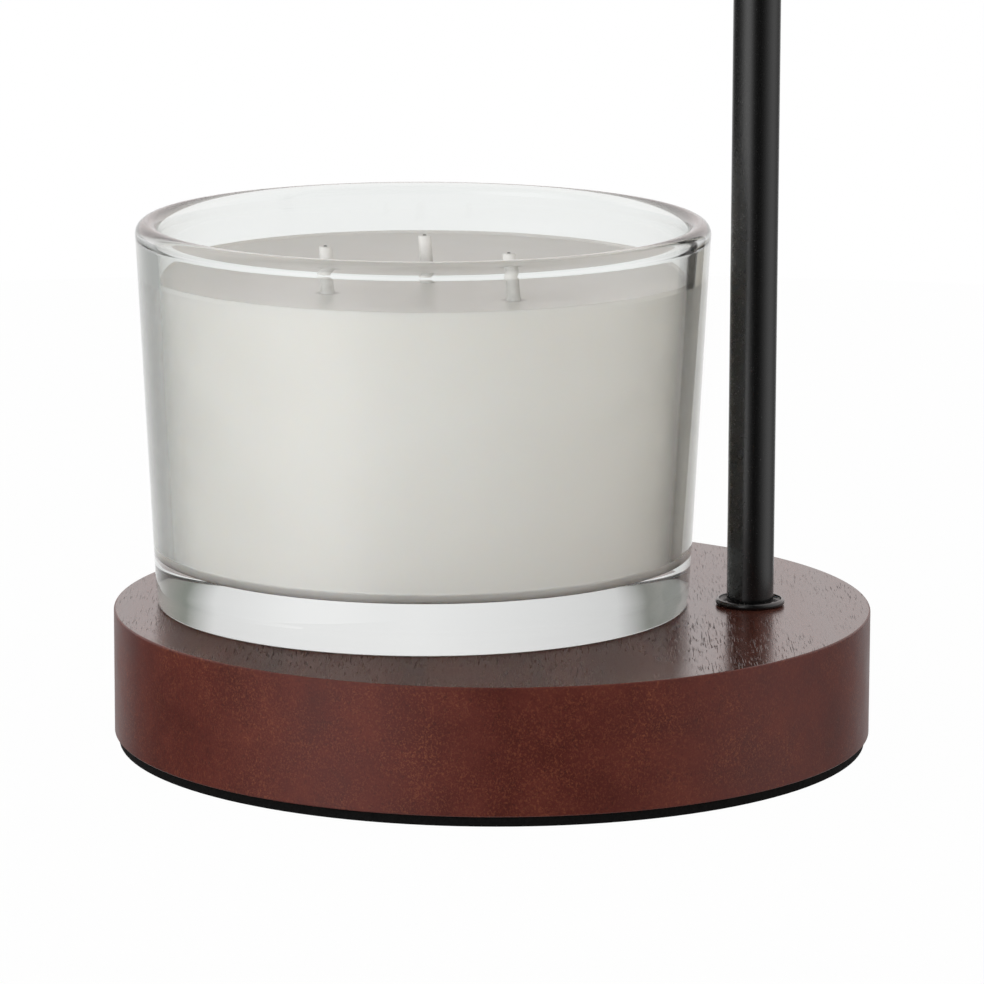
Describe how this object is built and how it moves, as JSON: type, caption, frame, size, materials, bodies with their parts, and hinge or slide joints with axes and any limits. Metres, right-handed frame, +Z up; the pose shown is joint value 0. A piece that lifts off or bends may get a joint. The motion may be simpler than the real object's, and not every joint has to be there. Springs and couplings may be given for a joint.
{
  "type": "candle warmer lamp",
  "caption": "Table lamp with a round wooden foot, black telescopic pole, swing arm, dimmer and tilting bell shade, warming a glass jar candle.",
  "frame": {"origin": "centre of the foot pad's underside, on the surface that the lamp stands on", "axes": "+Z up along the pole, +X from the middle of the base to the pole, +Y to the rear, where the mains inlet is"},
  "size_m": [0.15, 0.15, 0.3004],
  "materials": {
    "wood": "mahogany stain under a clear satin lacquer",
    "pad_foam": "black foam sheet",
    "steel": "zinc plated",
    "black_coat": "satin black powder coat",
    "black_plastic": "fine matte",
    "nylon": "natural nylon",
    "lead_sheath": "black silicone sheath",
    "brass": "bare",
    "ceramic": "unglazed white",
    "reflector": "aluminised glass",
    "clear_glass": "clear",
    "wax": "poured soy wax, satin"
  },
  "bodies": {
    "base": {"base_disc": "wood", "foot_pad": "pad_foam", "ballast_plate": "steel", "ballast_screws": "steel", "foot_flange": "black_coat", "pole_tube": "black_coat", "pole_nipple": "steel", "pole_washer": "steel", "pole_nut": "steel", "cord_gland": "black_plastic", "terminal_block": "nylon", "terminal_screws": "steel", "supply_lead": "lead_sheath", "clamp_collar": "black_coat", "collar_grub": "steel"},
    "mast": {"mast_tube": "steel", "mast_bush": "nylon", "swivel_seat": "brass", "swivel_washer": "nylon", "swivel_clip": "steel"},
    "thumbscrew": {"clamp_screw": "steel", "clamp_knob": "black_plastic"},
    "arm": {"hub_body": "black_coat", "hub_cap": "black_coat", "dimmer_module": "black_plastic", "dimmer_nut": "steel", "dimmer_lead": "lead_sheath", "arm_tube": "black_coat", "arm_finial": "black_coat", "stop_collar": "black_coat", "arm_grubs": "steel", "tilt_washers": "nylon", "arm_lead": "lead_sheath"},
    "dimmer": {"dimmer_shaft": "steel", "dimmer_knob": "black_plastic"},
    "head": {"socket_cup": "black_coat", "lampholder": "ceramic", "holder_contacts": "brass", "holder_screws": "steel", "lamp_lead": "lead_sheath", "shade": "black_coat", "shade_crown": "black_coat", "shade_ring": "black_coat", "bulb_base": "ceramic", "bulb_pins": "brass", "bulb_reflector": "reflector", "bulb_lens": "clear_glass", "bulb_capsule": "clear_glass"},
    "candle": {"candle_jar": "clear_glass", "candle_wax": "wax", "candle_wicks": "wax", "wick_tabs": "steel"}
  },
  "joints": [
    {"name": "mast_slide", "type": "slide", "parent": "base", "child": "mast", "axis": [0, 0, 1], "range_m": [0, 0.055]},
    {"name": "thumbscrew_turn", "type": "hinge", "parent": "base", "child": "thumbscrew", "pos_m": [0.0602, 0, 0.2443], "axis": [1, 0, 0], "range_deg": [0, 360]},
    {"name": "arm_swing", "type": "hinge", "parent": "mast", "child": "arm", "pos_m": [0.0512, 0, 0.2683], "axis": [0, 0, 1], "range_deg": [-90, 90]},
    {"name": "dimmer_turn", "type": "hinge", "parent": "arm", "child": "dimmer", "pos_m": [0.0512, 0, 0.2933], "axis": [0, 0, -1], "range_deg": [0, 270]},
    {"name": "head_tilt", "type": "hinge", "parent": "arm", "child": "head", "pos_m": [-0.0128, 0, 0.2683], "axis": [1, 0, 0], "range_deg": [-30, 30]},
    {"name": "candle_lift", "type": "slide", "parent": "base", "child": "candle", "axis": [0, 0, 1], "range_m": [0, 0.035]}
  ]
}
